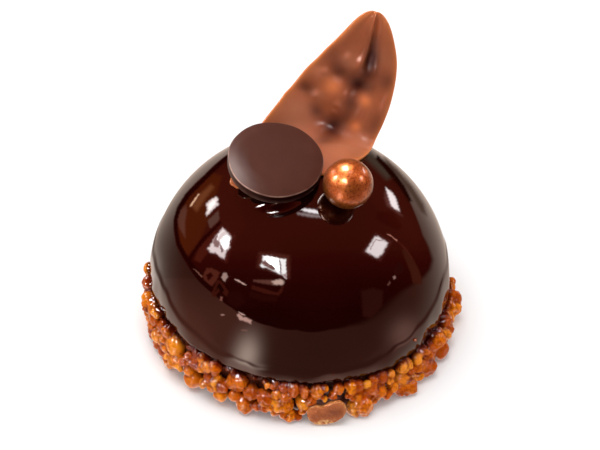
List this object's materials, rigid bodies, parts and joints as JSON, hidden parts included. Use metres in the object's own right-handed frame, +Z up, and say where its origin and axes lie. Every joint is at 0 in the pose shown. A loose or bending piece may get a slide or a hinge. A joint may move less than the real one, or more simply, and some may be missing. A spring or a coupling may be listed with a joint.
{
  "type": "bombe cake",
  "caption": "Single-portion mirror-glazed half-sphere cake on a ring of caramelised nuts, with a chocolate leaf, disc and pearl on top.",
  "frame": {"origin": "middle of the flat underside, on the surface the cake stands on", "axes": "+Z up, -Y towards the viewer of the picture, +X to the viewer's right"},
  "size_m": [0.0855, 0.0865, 0.0772],
  "materials": {
    "glaze": "dark chocolate mirror glaze",
    "caramel_nuts": "chopped nuts in clear amber caramel",
    "flat_nut": "matte milk-brown cut face",
    "milk_chocolate": "satin milk chocolate",
    "dark_chocolate": "satin dark chocolate",
    "bronze_coating": "speckled bronze lustre dust"
  },
  "bodies": {
    "root": {"dome": "glaze", "nut_base": "caramel_nuts", "flat_piece": "flat_nut", "leaf": "milk_chocolate", "disc": "dark_chocolate", "pearl": "bronze_coating"}
  },
  "joints": []
}
